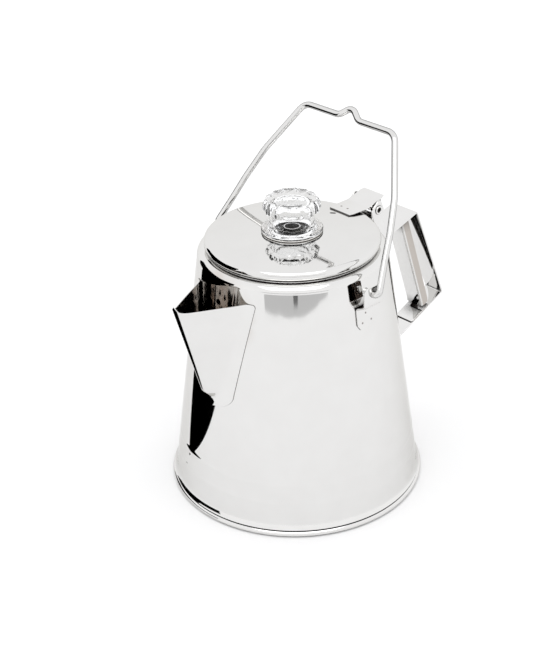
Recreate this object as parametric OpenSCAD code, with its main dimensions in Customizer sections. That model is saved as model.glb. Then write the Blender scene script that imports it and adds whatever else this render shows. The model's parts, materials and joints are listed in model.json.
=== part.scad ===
// Camp coffee percolator: conical steel pot with a folded spout, strap handle, wire bail,
// hinged lid with a clear knob, and the pump stem and basket that stand inside it.
// Millimetres. +Z is up, the origin is at the middle of the base on the resting plane,
// the spout points along -X, the handle and the lid hinge are on +X.

/* [Pot] */
// Radius of the pot's cone at its lower end
cone_low_r = 92; // [91:0.1:92.5]
// Radius of the pot's cone where the shoulder starts
cone_top_r = 67.9; // [67.6:0.1:68.2]
// Height at which the shoulder starts
shoulder_z = 179; // [178.8:0.1:179.2]
// Radius of the shoulder's bend
shoulder_bend = 5; // [4.8:0.1:5.4]
// Outer radius of the mouth's upright collar
collar_r = 60; // [59.9:0.05:60.1]
// Height of the top of the collar
collar_top = 187.4; // [187:0.1:187.5]
// Sheet thickness of the pot
wall = 0.8; // [0.7:0.05:0.9]
// Radius over the rolled rim of the base
rim_r = 95; // [94.8:0.1:95.2]
// Radius of the rolled rim's own section
rim_bead = 2.2; // [2.1:0.05:2.3]

/* [Spout] */
// Distance from the pot's axis to the tip of the spout
tip_reach = 108.3; // [107.5:0.1:108.5]
// Height of the spout's tip
tip_z = 177; // [176:0.1:177.5]
// Height of the spout's side rims
spout_rim_z = 171.2; // [170.8:0.1:171.6]
// Half of the spout's width where it meets the pot
spout_half_w = 24; // [23:0.1:25]
// Radius of the strainer holes behind the spout
strainer_hole_r = 2.2; // [1.6:0.1:2.6]

/* [Handle] */
// Thickness of the handle strap
strap_t = 1.3; // [1.1:0.1:1.4]
// Width of the strap's upper arm
strap_w = 25; // [24:0.5:25]
// Width of the strap's lower arm
strap_low_w = 17; // [16.5:0.5:18]
// Distance from the axis to the upper bend
upper_bend_x = 117; // [116:0.5:118]
// Height of the upper bend
upper_bend_z = 176; // [175.5:0.25:176.5]
// Distance from the axis to the lower bend
lower_bend_x = 154.5; // [153:0.5:155]
// Height of the lower bend
lower_bend_z = 93.3; // [93:0.1:93.6]

/* [Bail] */
// Diameter of the bail wire
bail_d = 4.5; // [4:0.1:4.5]
// Height of the ears' holes, the axis that the bail swings about
bail_axis_z = 174.7; // [174.5:0.1:175]
// How far the bail leans towards the handle at rest, in degrees
bail_lean = 32.1; // [20:0.1:40]
// Height of the bail's grip above its axis
bail_h = 105.3; // [104.8:0.1:106]

/* [Lid] */
// Outer radius of the lid
lid_r = 62.3; // [62:0.1:62.5]
// Height of the top of the lid at its rounded edge
lid_top = 193.7; // [193.5:0.05:193.8]
// How far the lid's middle rises above its edge
lid_rise = 3.2; // [3.2:0.1:3.4]
// Distance from the axis to the hinge pin
hinge_x = 74.6; // [74.4:0.1:74.8]
// Height of the hinge pin
hinge_z = 191.6; // [191.4:0.1:191.8]
// Outer radius of the tubular hinge pin
hinge_pin_r = 2.4; // [2.2:0.05:2.4]
// Outer radius of the knob's crown
knob_r = 20.45; // [20:0.05:20.6]
// Height of the knob's top
knob_top = 221; // [220:0.25:222]
// Number of flutes round the knob
knob_flutes = 14; // [10:1:16]

/* [Pump and basket] */
// Outer radius of the pump tube
tube_r = 6; // [5.5:0.1:6]
// Outer radius of the basket's rim
basket_r = 47; // [46:0.5:47.5]
// Height of the basket's floor
basket_floor_z = 112; // [110:0.5:112]
// Depth of the basket
basket_depth = 58; // [56:0.5:58]
// Outer radius of the pump's bell foot
foot_r = 46; // [44:0.5:48]

/* [Hidden] */
$fn = 96;

gap = 0.05;                  // between pieces that are fixed to each other
run_gap = 0.1;               // between a shaft and its hole
far = 200;                   // longer than anything it cuts
cone_low_z = 5;              // lower end of the cone
bead_z = [24.6, 38.8];       // heights of the two stiffening beads
bead_h = 0.5;                // how far they stand out
shoulder_top = shoulder_z + 1.6 + shoulder_bend;

// Outer radius of the pot at a height on its cone
function cone_r(z) = cone_low_r + (cone_top_r - cone_low_r) * (z - cone_low_z) / (shoulder_z - cone_low_z);
// Points of an arc in steps of no more than 15 degrees
function arc(c, r, a0, a1) = let (n = ceil(abs(a1 - a0) / 15))
    [for (i = [0 : n]) let (a = a0 + (a1 - a0) * i / n) [c[0] + r * cos(a), c[1] + r * sin(a)]];
// The three points of one stiffening bead
function bead(z, inset) = [
    [cone_r(z - 1.2) - inset, z - 1.2], [cone_r(z) + bead_h - inset, z], [cone_r(z + 1.2) - inset, z + 1.2]
];
// Half section of the pot, drawn in by the sheet's thickness for its inner face
function pot_section(inset, low, high) = concat(
    [[0, low], [cone_r(low) - inset, low]],
    bead(bead_z[0], inset),
    bead(bead_z[1], inset),
    arc([cone_top_r - 0.22 - shoulder_bend, shoulder_top - shoulder_bend], shoulder_bend - inset, 0, 90),
    [[collar_r - inset, shoulder_top - inset], [collar_r - inset, high], [0, high]]
);

// A sheet piece lying on the pot: the part of a layer round the cone that a prism along X or Y keeps
module on_cone(lift, t, low, high) {
    intersection() {
        difference() {
            cylinder(h = high, r1 = cone_r(0) + lift + t, r2 = cone_r(high) + lift + t);
            translate([0, 0, -1])
                cylinder(h = high + 2, r1 = cone_r(-1) + lift, r2 = cone_r(high + 1) + lift);
            translate([-far, -far, -far]) cube([2 * far, 2 * far, far + low]);
        }
        children();
    }
}
// A flat shape drawn in X and Z, given a width along Y
module across(w) rotate([90, 0, 0]) linear_extrude(w, center = true) children();
// A flat shape drawn in Y and Z, given a length along X
module along_x(x0, x1) translate([x0, 0, 0]) rotate([90, 0, 90]) linear_extrude(x1 - x0) children();
// A strip of sheet seen edge on, from p to q
module strip(p, q, t) {
    d = q - p;
    translate(p) rotate(atan2(d[1], d[0])) translate([0, -t / 2]) square([norm(d), t]);
}

// ---- Pot ----

strainer_pitch = 11.6;
strainer_rows = 6;
strainer_row_step = 10;
strainer_top_z = 165.8;

module body_shell() color("silver") difference() {
    rotate_extrude() polygon(pot_section(0, cone_low_z, collar_top));
    rotate_extrude() polygon(pot_section(wall, cone_low_z - 1, collar_top + 1));
    for (row = [0 : strainer_rows - 1], k = [-1 : 1]) {
        odd = row % 2;
        y = (k + odd / 2) * strainer_pitch;
        z = strainer_top_z - row * strainer_row_step;
        if (abs(y) < (z - 88) * 0.23)
            translate([-far / 2, y, z]) rotate([0, 90, 0]) cylinder(h = 60, r = strainer_hole_r, $fn = 32);
    }
}

// The base is a pressed pan: a flat floor, a lip inside the cone and a rolled rim outside it
floor_t = 0.9;
pan_lip_h = 12;
module base_pan() color("gainsboro") {
    rim_c = rim_r - rim_bead;
    lip_r = cone_r(pan_lip_h) - wall - 0.4;
    difference() {
        union() {
            cylinder(h = pan_lip_h, r = lip_r);
            cylinder(h = floor_t, r = rim_c);
            translate([0, 0, rim_bead - 0.25]) rotate_extrude() translate([rim_c, 0]) circle(rim_bead);
        }
        translate([0, 0, floor_t]) cylinder(h = pan_lip_h, r = lip_r - floor_t);
        translate([0, 0, -5]) cylinder(h = 5, r = far);
    }
}

// ---- Spout: two flat panels folded round a soft front edge, with a flange on the pot ----

fold_low_x = 86.4;           // reach of the fold at the chin
chin_z = 100.5;
chin_r = 4;
fold_r = 2;
spout_t = 0.8;
function spout_tilt() = atan2(tip_reach - fold_low_x, tip_z - chin_z);

// The wedge inside the spout's outer or inner face
module spout_wedge(inset) hull() {
    a = spout_tilt();
    tip = [-tip_reach + fold_r * cos(a), 0, tip_z];
    up = 9;
    translate(tip) sphere(fold_r - inset, $fn = 24);
    translate(tip + [-up * tan(a), 0, up]) sphere(fold_r - inset, $fn = 24);
    translate([-fold_low_x + chin_r, 0, chin_z]) sphere(chin_r - inset, $fn = 32);
    for (s = [-1, 1]) {
        translate([-56, s * (spout_half_w + 4.8 - inset), tip_z + up]) sphere(0.1, $fn = 8);
        translate([-56, s * (spout_half_w + 4.8 - inset), spout_rim_z - 4]) sphere(0.1, $fn = 8);
        translate([-72, s * (7 - inset), chin_z - 1 + inset]) sphere(0.1, $fn = 8);
    }
}
// Everything above the spout's rim: level along the sides, rising to a beak at the tip
module above_spout_rim() across(2 * far) polygon([
    [-40, spout_rim_z], [-90, spout_rim_z], [-98, spout_rim_z + 1], [-103.6, spout_rim_z + 2.4],
    [-tip_reach - 1, tip_z + 0.6], [-tip_reach - 9, far], [-40, far]
]);
// Outline of the flange, seen along X
module flange_outline() {
    top = 171;
    for (s = [0, 1]) mirror([s, 0]) polygon(concat(
        [[0, 88.2], [0, top], [27.6, top]],
        arc([27.9, top - 2.2], 2.2, 75, 10),
        [[20.2, 103.5]],
        arc([9.2, 99.5], 11, 0, -90),
        [[4, 88.3]]
    ));
}
module spout() color("silver") {
    difference() {
        union() {
            difference() {
                spout_wedge(0);
                cylinder(h = far, r1 = cone_r(0) + gap + 0.3, r2 = cone_r(far) + gap + 0.3);
            }
            on_cone(gap, 0.7, 80, far) along_x(-95, 0) flange_outline();
        }
        spout_wedge(spout_t);
        above_spout_rim();
    }
}

// ---- Handle ----

upper_bend = [upper_bend_x, upper_bend_z];
lower_bend = [lower_bend_x, lower_bend_z];
arm_slope = 0.295;
low_arm_slope = 0.435;
upper_root = [66, upper_bend_z - arm_slope * (upper_bend_x - 66)];
lower_root = [80, lower_bend_z - low_arm_slope * (lower_bend_x - 80)];
upper_foot_z = upper_bend_z - arm_slope * (upper_bend_x - 70.5);
lower_foot_z = lower_bend_z - low_arm_slope * (lower_bend_x - 84.5);
foot_h = 15;

// One straight run of the strap from p to q, its width changing from w0 to w1
module strap_run(p, q, w0, w1) {
    d = q - p;
    over = strap_t * 0.42;
    translate([p[0], 0, p[1]]) rotate([0, -atan2(d[1], d[0]), 0]) translate([0, 0, -strap_t / 2])
        linear_extrude(strap_t) polygon([
            [-over, -w0 / 2], [norm(d) + over, -w1 / 2], [norm(d) + over, w1 / 2], [-over, w0 / 2]
        ]);
}
module handle_band() color("silver") {
    difference() {
        union() {
            strap_run(upper_root, upper_bend, strap_w, strap_w);
            strap_run(upper_bend, lower_bend, strap_w + 0.1, strap_low_w + 0.1);
            strap_run(lower_bend, lower_root, strap_low_w, strap_low_w);
        }
        cylinder(h = far, r1 = cone_r(0) + gap + 0.3, r2 = cone_r(far) + gap + 0.3);
    }
    on_cone(gap, strap_t, 40, far) union() {
        translate([20, 0.2 - strap_w / 2, upper_foot_z - foot_h]) cube([60, strap_w - 0.4, foot_h]);
        translate([20, 0.2 - strap_low_w / 2, lower_foot_z - foot_h]) cube([90, strap_low_w - 0.4, foot_h]);
    }
}

// The inner grip: a channel, round towards the pot, with a foot on each arm of the strap
grip_low = [131.4, 88];
grip_high = [103.4, 172];
grip_r = 8.9;
grip_t = 1;
grip_depth = 6.8;
function on_arm(bend, slope, x, lift) =
    let (a = atan(slope)) [x - lift * sin(a), bend[1] - slope * (bend[0] - x) + lift * cos(a)];
module grip_band() color("silver") {
    tilt = atan2(grip_high[0] - grip_low[0], grip_high[1] - grip_low[1]);
    lift = strap_t / 2 + gap + grip_t / 2;
    intersection() {
        translate([grip_low[0], 0, grip_low[1]]) rotate([0, tilt, 0])
            translate([0, 0, -10]) linear_extrude(norm(grip_high - grip_low) + 20) intersection() {
                translate([grip_r, 0]) difference() {
                    circle(grip_r);
                    circle(grip_r - grip_t);
                }
                translate([0, -far]) square([grip_depth, 2 * far]);
            }
        across(far) polygon([
            on_arm(upper_bend, arm_slope, 80, -lift), on_arm(upper_bend, arm_slope, 160, -lift),
            on_arm(lower_bend, low_arm_slope, 170, lift), on_arm(lower_bend, low_arm_slope, 80, lift)
        ]);
    }
    across(strap_low_w) {
        strip(on_arm(lower_bend, low_arm_slope, 119.5, lift), on_arm(lower_bend, low_arm_slope, 138.5, lift), grip_t);
        strip(on_arm(upper_bend, arm_slope, 99, -lift), on_arm(upper_bend, arm_slope, 114, -lift), grip_t);
    }
}

// ---- Bail and its ears ----

bail_r = bail_d / 2;
ear_face = 77.5;             // outer face of each ear, from the middle
ear_t = 1.2;
ear_half_w = 8;
ear_top = 180.2;
ear_shelf_z = 165.5;
pin_in = 70.8;               // inner end of the bail's pins
pin_out = 79;                // where the pins run into the bail's legs

module bail_ear() {
    difference() {
        union() {
            translate([0, -ear_face, 0]) rotate([90, 0, 180]) translate([0, 0, -ear_t]) linear_extrude(ear_t)
                polygon(concat(
                    [[-ear_half_w, ear_shelf_z], [ear_half_w, ear_shelf_z]],
                    arc([ear_half_w - 3, ear_top - 3], 3, 0, 90),
                    arc([3 - ear_half_w, ear_top - 3], 3, 90, 180)
                ));
            along_x(-ear_half_w, ear_half_w) {
                strip([-ear_face + ear_t / 2, ear_shelf_z + 0.4], [-70.4, 162.6], ear_t);
                translate([-ear_face + ear_t / 2, ear_shelf_z + 0.4]) circle(d = ear_t, $fn = 24);
            }
        }
        translate([0, 0, bail_axis_z]) rotate([90, 0, 0]) cylinder(h = far, r = bail_r + run_gap);
        cylinder(h = far, r1 = cone_r(0) + gap, r2 = cone_r(far) + gap);
    }
    on_cone(gap, ear_t, 80, far)
        translate([-ear_half_w - 1, -100, 147]) cube([2 * ear_half_w + 2, 60, 16.5]);
}
module bail_ear_left() color("silver") bail_ear();
module bail_ear_right() color("silver") mirror([0, 1, 0]) bail_ear();

// Half of the bail's centre line, [distance from the middle, height above the axis, bend radius]
bail_path = [
    [78, 0, 0], [83.7, 0, 3.2], [77.7, 21, 40], [72.6, 41, 60], [64.6, 65, 60],
    [44, bail_h, 10], [9.5, bail_h, 8], [0, bail_h + 7.9, 6]
];
// Both halves, from the left pin to the right one
bail_points = concat(
    [for (p = bail_path) [-p[0], p[1], p[2]]],
    [for (i = [len(bail_path) - 2 : -1 : 0]) bail_path[i]]
);
function flat(p) = [p[0], p[1]];
function unit(v) = v / norm(v);
// Points along a bend of radius p[2] at p, between the directions to its neighbours
function bend(a, p, b) = p[2] == 0 ? [flat(p)] :
    let (
        u = unit(flat(a) - flat(p)),
        v = unit(flat(b) - flat(p)),
        half = acos(u * v) / 2,
        cut = p[2] / tan(half),
        c = flat(p) + unit(u + v) * p[2] / sin(half),
        s = flat(p) + u * cut - c,
        e = flat(p) + v * cut - c,
        n = max(1, ceil((180 - 2 * half) / 15))
    ) [for (i = [0 : n]) c + unit(s * (1 - i / n) + e * i / n) * p[2]];
function bail_line() = [
    for (i = [0 : len(bail_points) - 1])
        each bend(bail_points[max(i - 1, 0)], bail_points[i], bail_points[min(i + 1, len(bail_points) - 1)])
];
wire_sides = 16;
// A wire of radius r swept along a flat line in Y and Z
module wire(line, r) {
    n = len(line);
    function dir(i) = unit(line[min(i + 1, n - 1)] - line[max(i - 1, 0)]);
    rings = [for (i = [0 : n - 1]) let (d = dir(i)) for (k = [0 : wire_sides - 1])
        let (a = 360 * k / wire_sides, o = r * cos(a))
        [r * sin(a), line[i][0] - d[1] * o, line[i][1] + d[0] * o]];
    sides = [for (i = [0 : n - 2], k = [0 : wire_sides - 1])
        let (a = i * wire_sides + k, b = i * wire_sides + (k + 1) % wire_sides)
        [a, a + wire_sides, b + wire_sides, b]];
    ends = [[for (k = [0 : wire_sides - 1]) k], [for (k = [wire_sides - 1 : -1 : 0]) (n - 1) * wire_sides + k]];
    polyhedron(rings, concat(sides, ends), convexity = 6);
}
module bail_wire() color("gainsboro") translate([0, 0, bail_axis_z]) {
    rotate([0, bail_lean, 0]) wire(bail_line(), bail_r * 0.99);
    for (s = [0, 1]) mirror([0, s, 0]) rotate([90, 0, 0]) {
        translate([0, 0, pin_in]) cylinder(h = pin_out - pin_in, r = bail_r);
        translate([0, 0, pin_in]) cylinder(h = 1.4, r = bail_r + 1);
    }
}

// ---- Lid and hinge ----

lid_t = 0.8;
lid_edge_r = 3;
lid_skirt_z = 187.2;
lid_flat_r = lid_r - lid_edge_r;
knob_hole_r = 13.3;
ring_r = 58;
ring_low_z = 180.5;
ring_t = 0.8;

// Height of the lid's upper face at a distance from the axis
function lid_z(r) = lid_top + lid_rise * (1 - pow(r / lid_flat_r, 2));
function lid_section(inset) = concat(
    [for (i = [0 : 5]) [i * lid_flat_r / 6, lid_z(i * lid_flat_r / 6) - inset]],
    arc([lid_flat_r, lid_top - lid_edge_r], lid_edge_r - inset, 90, 0),
    [[lid_r - inset, lid_skirt_z - (inset > 0 ? 1 : 0)], [0, lid_skirt_z - (inset > 0 ? 1 : 0)]]
);
module lid_shell() color("silver") difference() {
    rotate_extrude() polygon(lid_section(0));
    rotate_extrude() polygon(lid_section(lid_t));
    translate([0, 0, lid_top - 5]) cylinder(h = 10, r = knob_hole_r);
}
// The ring under the lid: a wall that enters the mouth, a bead that rests on the collar, a flange that is welded
module lid_ring() color("gainsboro") rotate_extrude() {
    top = lid_top - lid_t - gap;
    translate([ring_r - ring_t, ring_low_z]) square([ring_t, top - ring_low_z]);
    translate([ring_r - 7, top - ring_t]) square([7, ring_t]);
    translate([ring_r - 0.2, collar_top + 0.1]) square([2.2, 1.2]);
}

leaf_t = 0.9;
leaf_half_w = 10.9;
leaf_in_x = 46.8;
leaf_bend_x = 66;
tab_end = [82.8, 199.9];
tab_half_w = 11;
lug_half_w = 10.8;
lug_t = 0.9;
module hinge_leaf() color("silver") {
    leaf_z = lid_z(leaf_in_x) + gap + leaf_t / 2;
    difference() {
        union() {
            // the leaf with a rounded inner end, then the thumb tab
            translate([0, 0, leaf_z - leaf_t / 2]) linear_extrude(leaf_t) polygon(concat(
                [[leaf_bend_x, leaf_half_w]],
                arc([leaf_in_x + 1.5, leaf_half_w - 1.5], 1.5, 90, 180),
                arc([leaf_in_x + 1.5, 1.5 - leaf_half_w], 1.5, 180, 270),
                [[leaf_bend_x, -leaf_half_w]]
            ));
            intersection() {
                across(2 * tab_half_w) {
                    strip([leaf_bend_x, leaf_z], tab_end, leaf_t);
                    translate([leaf_bend_x, leaf_z]) circle(d = leaf_t, $fn = 24);
                }
                translate([0, 0, lid_top - 5]) linear_extrude(20) polygon(concat(
                    [[leaf_bend_x - 2, -leaf_half_w], [leaf_bend_x + 2, -tab_half_w]],
                    arc([tab_end[0] - 3, 3 - tab_half_w], 3, -90, 0),
                    arc([tab_end[0] - 3, tab_half_w - 3], 3, 0, 90),
                    [[leaf_bend_x + 2, tab_half_w], [leaf_bend_x - 2, leaf_half_w]]
                ));
            }
            // the lugs that hang down each side and hold the pin
            for (s = [-1, 1]) translate([0, s * (lug_half_w - lug_t / 2), 0]) across(lug_t) polygon(concat(
                [[leaf_bend_x + 2, leaf_z + 0.4], [leaf_bend_x + 3.4, 191]],
                arc([hinge_x, hinge_z], 4.6, 215, 325),
                [[79.4, 198.2], [leaf_bend_x + 2.2, leaf_z + 0.6]]
            ));
        }
        translate([hinge_x, far / 2, hinge_z]) rotate([90, 0, 0]) cylinder(h = far, r = hinge_pin_r + run_gap);
    }
}

bracket_t = 1.2;
bracket_half_w = 12.5;
web_half_w = bracket_half_w - 0.2;
web_low = [70.4, 170];
web_high = [68, 191.6];
module hinge_bracket() color("silver") {
    difference() {
        union() {
            // the web that joins the ears on the pot's side
            across(2 * web_half_w) strip(web_low, web_high, bracket_t);
            for (s = [-1, 1])
                translate([0, s * (bracket_half_w - bracket_t / 2), 0]) across(bracket_t) polygon(concat(
                    [[69.2, 167.6], [69.4, 184.5], [67.1, 192.2], [73.6, 198.2]],
                    arc([75.4, 196.4], 2.4, 110, 20),
                    [[80.6, 190.5], [80.6, 172.4], [77, 168.6]]
                ));
        }
        translate([hinge_x, far / 2, hinge_z]) rotate([90, 0, 0]) cylinder(h = far, r = hinge_pin_r + gap);
        cylinder(h = far, r1 = cone_r(0) + gap, r2 = cone_r(far) + gap);
    }
    on_cone(gap, bracket_t, 80, far)
        translate([20, -bracket_half_w, 166.2]) cube([60, 2 * bracket_half_w, 11.5]);
}
module hinge_pin() color("gainsboro") translate([hinge_x, 0, hinge_z]) rotate([90, 0, 0]) difference() {
    union() {
        cylinder(h = 2 * bracket_half_w + 1.4, r = hinge_pin_r, center = true);
        for (s = [-1, 1]) translate([0, 0, s * (bracket_half_w + gap + 0.45)])
            cylinder(h = 0.9, r = hinge_pin_r + 0.9, center = true);
    }
    cylinder(h = 60, r = hinge_pin_r - 0.9, center = true);
}

// ---- Knob ----

washer_t = 0.8;
knob_z = lid_z(knob_hole_r) + washer_t + 2 * gap;
spigot_z = 191.4;
flange_r = 21.85;
neck_r = 16;
spigot_r = knob_hole_r - run_gap;
mouth_r = 10;                // radius of the hollow's mouth
hollow_r = neck_r - 2.4;     // radius of the hollow in the neck
flute_r = 5.2;
flute_depth = 1.5;
module knob() color("white", 0.4) difference() {
    rotate_extrude() polygon(concat(
        [[0, spigot_z], [spigot_r, spigot_z], [spigot_r, knob_z], [flange_r, knob_z]],
        arc([flange_r - 1.2, knob_z + 0.6], 1.2, 0, 90),
        [[neck_r + 2.2, knob_z + 2.6], [neck_r, knob_z + 5], [neck_r, knob_top - 10.6]],
        [[knob_r - 1.2, knob_top - 9.2], [knob_r, knob_top - 8], [knob_r - 0.6, knob_top - 3.5]],
        [[knob_r - 2.3, knob_top - 0.3], [knob_r - 3, knob_top], [12.4, knob_top - 0.8], [0, knob_top - 1.2]]
    ));
    // the hollow that the pump's spurt is seen in, narrow in the spigot and wide in the neck
    rotate_extrude() polygon([
        [0, spigot_z - 1], [mouth_r, spigot_z - 1], [mouth_r, knob_z + 1], [hollow_r, knob_z + 5],
        [hollow_r, knob_top - 8], [mouth_r, knob_top - 4.5], [0, knob_top - 4.5]
    ]);
    for (i = [0 : knob_flutes - 1]) rotate(360 * (i + 0.5) / knob_flutes)
        translate([knob_r + flute_r - flute_depth, 0, knob_top - 16]) cylinder(h = 30, r = flute_r, $fn = 32);
}
module knob_washer() color("dimgray") translate([0, 0, lid_z(knob_hole_r) + gap]) difference() {
    cylinder(h = washer_t, r = flange_r - 0.4);
    translate([0, 0, -1]) cylinder(h = 5, r = spigot_r + 0.4);
}
module knob_retainer() color("gainsboro") translate([0, 0, spigot_z + 0.3]) difference() {
    cylinder(h = 4, r = 18);
    translate([0, 0, -1]) cylinder(h = 10, r = spigot_r + gap);
}

// ---- Pump and basket ----

tube_wall = 0.8;
tube_low_z = 16;
tube_top_z = 200;
socket_h = 12;
bell_low_z = floor_t + 0.3;
stop_z = basket_floor_z - 3.3;

module pump_tube() color("gainsboro") translate([0, 0, tube_low_z]) difference() {
    cylinder(h = tube_top_z - tube_low_z, r = tube_r);
    translate([0, 0, -1]) cylinder(h = far + 10, r = tube_r - tube_wall);
}
// The bell stands on the floor; water enters by notches in its edge and by the valve seat in its middle
module pump_foot() color("gainsboro") difference() {
    socket_r = tube_r + gap;
    socket_z = tube_low_z - 5;
    rotate_extrude() polygon([
        [foot_r, bell_low_z], [foot_r, bell_low_z + 1.4], [foot_r - 4, bell_low_z + 1.6],
        [socket_r + 6, socket_z], [socket_r + 1.2, socket_z + 2.4], [socket_r + 1.2, socket_z + socket_h],
        [socket_r, socket_z + socket_h], [socket_r, socket_z], [4, socket_z],
        [4, socket_z - 1], [socket_r + 5, socket_z - 1], [foot_r - 5, bell_low_z + 0.6], [foot_r - 5, bell_low_z]
    ]);
    for (i = [0 : 7]) rotate(i * 45 + 22.5) translate([foot_r - 7.5, 0, -1]) cylinder(h = 20, r = 1.5, $fn = 24);
}
module valve_disc() color("silver") translate([0, 0, tube_low_z - 5 + 0.1]) difference() {
    cylinder(h = 0.8, r = tube_r - 0.6);
    translate([0, 0, -1]) cylinder(h = 3, r = 0.8, $fn = 24);
}
module basket_stop() color("gainsboro") translate([0, 0, stop_z]) difference() {
    cylinder(h = 3, r = tube_r + 2.2);
    translate([0, 0, -1]) cylinder(h = 5, r = tube_r + gap);
}

sleeve_r = tube_r + 0.4;
basket_t = 0.7;
floor_hole_r = 1.3;
basket_top_z = basket_floor_z + basket_depth;
module basket() color("gainsboro") difference() {
    low_r = basket_r - 4;
    rotate_extrude() polygon([
        [sleeve_r + 0.9, basket_floor_z], [low_r - 2, basket_floor_z], [low_r, basket_floor_z + 2],
        [basket_r - 1.8, basket_top_z - 2], [basket_r, basket_top_z - 1.4], [basket_r, basket_top_z],
        [basket_r - 2.4, basket_top_z], [low_r - 0.8, basket_floor_z + 2.4],
        [low_r - 2.4, basket_floor_z + basket_t], [sleeve_r + 0.9, basket_floor_z + basket_t]
    ]);
    for (ring = [0 : 3]) {
        count = 8 + 6 * ring;
        for (i = [0 : count - 1]) rotate(360 * i / count) translate([13 + 7.5 * ring, 0, basket_floor_z - 1])
            cylinder(h = 3, r = floor_hole_r, $fn = 16);
    }
}
module basket_sleeve() color("silver") translate([0, 0, basket_floor_z - 0.2]) difference() {
    cylinder(h = basket_depth - 1, r = sleeve_r + 0.8);
    translate([0, 0, -1]) cylinder(h = far, r = sleeve_r);
}
// The spreader: a shallow perforated cover that drops into the basket's rim
module basket_lid() color("gainsboro") difference() {
    z = basket_top_z + 0.1;
    rotate_extrude() polygon([
        [basket_r - 3.2, z - 2.4], [basket_r - 3.2, z], [basket_r - 0.4, z], [basket_r - 0.4, z + 0.7],
        [basket_r - 4, z + 0.7], [12, z + 3], [sleeve_r + 2.6, z + 3], [sleeve_r + 2.6, z + 2.3],
        [12, z + 2.3], [basket_r - 4, z], [basket_r - 4, z - 2.4]
    ]);
    for (ring = [0 : 3]) {
        count = 8 + 6 * ring;
        for (i = [0 : count - 1]) rotate(360 * (i + 0.5) / count) translate([14.5 + 7 * ring, 0, z - 3])
            cylinder(h = 9, r = floor_hole_r, $fn = 16);
    }
}

body_shell();
base_pan();
spout();
hinge_bracket();
hinge_pin();
handle_band();
grip_band();
bail_ear_left();
bail_ear_right();
bail_wire();
lid_shell();
lid_ring();
hinge_leaf();
knob();
knob_washer();
knob_retainer();
pump_tube();
pump_foot();
valve_disc();
basket_stop();
basket();
basket_sleeve();
basket_lid();
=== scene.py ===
"""The look of the camp percolator: polished steel sheet, bent wire and a clear fluted knob.

Lengths are in millimetres in this script and turned into metres where a mesh is made.
+Z is up, the spout points along -X, the handle and hinge are on +X.
"""

import json
import math

import bmesh
import bpy
from mathutils import Matrix, Vector


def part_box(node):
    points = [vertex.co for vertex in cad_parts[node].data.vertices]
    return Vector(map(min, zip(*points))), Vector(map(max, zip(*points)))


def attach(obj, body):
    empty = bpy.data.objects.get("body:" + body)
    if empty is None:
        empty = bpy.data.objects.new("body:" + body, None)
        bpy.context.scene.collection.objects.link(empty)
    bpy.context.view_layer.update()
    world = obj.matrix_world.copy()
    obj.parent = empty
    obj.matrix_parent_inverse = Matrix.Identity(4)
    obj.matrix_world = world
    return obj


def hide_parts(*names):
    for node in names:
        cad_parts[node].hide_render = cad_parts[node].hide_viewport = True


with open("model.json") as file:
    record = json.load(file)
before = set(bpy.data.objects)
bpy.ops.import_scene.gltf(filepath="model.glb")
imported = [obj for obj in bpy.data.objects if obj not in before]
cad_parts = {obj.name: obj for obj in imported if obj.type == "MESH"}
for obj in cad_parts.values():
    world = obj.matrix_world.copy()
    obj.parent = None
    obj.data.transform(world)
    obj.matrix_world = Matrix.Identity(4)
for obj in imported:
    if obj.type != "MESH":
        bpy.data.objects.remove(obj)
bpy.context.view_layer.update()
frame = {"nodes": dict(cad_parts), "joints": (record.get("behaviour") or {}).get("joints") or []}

MM = 0.001
ROUND = 256          # segments round the pot's axis
SHARP = 35           # degrees: an edge sharper than this isn't shaded smooth


# ---------------------------------------------------------------- sizes taken from the frame

def node_box(node):
    """A CAD node's lowest and highest corners, in millimetres."""
    low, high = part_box(node)
    return [v / MM for v in low], [v / MM for v in high]


body_low, body_high = node_box("body_shell")
lid_low, lid_high = node_box("lid_shell")
leaf_low, leaf_high = node_box("hinge_leaf")
knob_low, knob_high = node_box("knob")
washer_low, washer_high = node_box("knob_washer")
ring_low, ring_high = node_box("lid_ring")
PAN_R, _, PAN_TOP = node_box("base_pan")[1]
TIP_X = node_box("spout")[0][0]
STRAP_HALF_W = node_box("handle_band")[1][1]
GRIP_HALF_W = node_box("grip_band")[1][1]
EAR_Y, EAR_TOP = node_box("bail_ear_right")[1][1:]
BRACKET_HALF_W = node_box("hinge_bracket")[1][1]
PIN_END = node_box("hinge_pin")[1][1]

JOINTS = {joint["name"]: joint for joint in frame["joints"]}
HINGE_X = JOINTS["lid_hinge"]["pos_m"][0] / MM
HINGE_Z = JOINTS["lid_hinge"]["pos_m"][2] / MM
BAIL_Z = JOINTS["bail_swing"]["pos_m"][2] / MM

CONE_LOW_Z = body_low[2]
CONE_LOW_R = body_high[0]
CONE_SLOPE = 0.1385          # how fast the pot's radius shrinks with height
SHOULDER_Z = 180.6           # where the cone starts to bend into the shoulder
SHOULDER_BEND = 5
SHOULDER_TOP = SHOULDER_Z + SHOULDER_BEND
COLLAR_R = 60                # outside of the collar round the pot's mouth
COLLAR_TOP = body_high[2]
WALL = 0.8
FIT = 0.05                   # between sheets that are welded together
LID_R = lid_high[0]
LID_EDGE = 3                 # bend radius of the lid's rounded edge
LID_FLAT_R = LID_R - LID_EDGE
LID_RISE = 3.2               # how far the lid's middle rises above its edge
LID_HOLE = 13.3              # radius of the hole for the knob
SKIRT_Z = lid_low[2] - 0.4   # the skirt reaches a little lower than in CAD
LID_TOP = lid_high[2] - LID_RISE * (1 - (LID_HOLE / LID_FLAT_R) ** 2)


def cone_r(z):
    """Outer radius of the pot at a height."""
    return CONE_LOW_R - CONE_SLOPE * (z - CONE_LOW_Z)


def lid_z(r):
    """Height of the lid's upper face at a distance from the axis."""
    return LID_TOP + LID_RISE * (1 - (r / LID_FLAT_R) ** 2)


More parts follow.
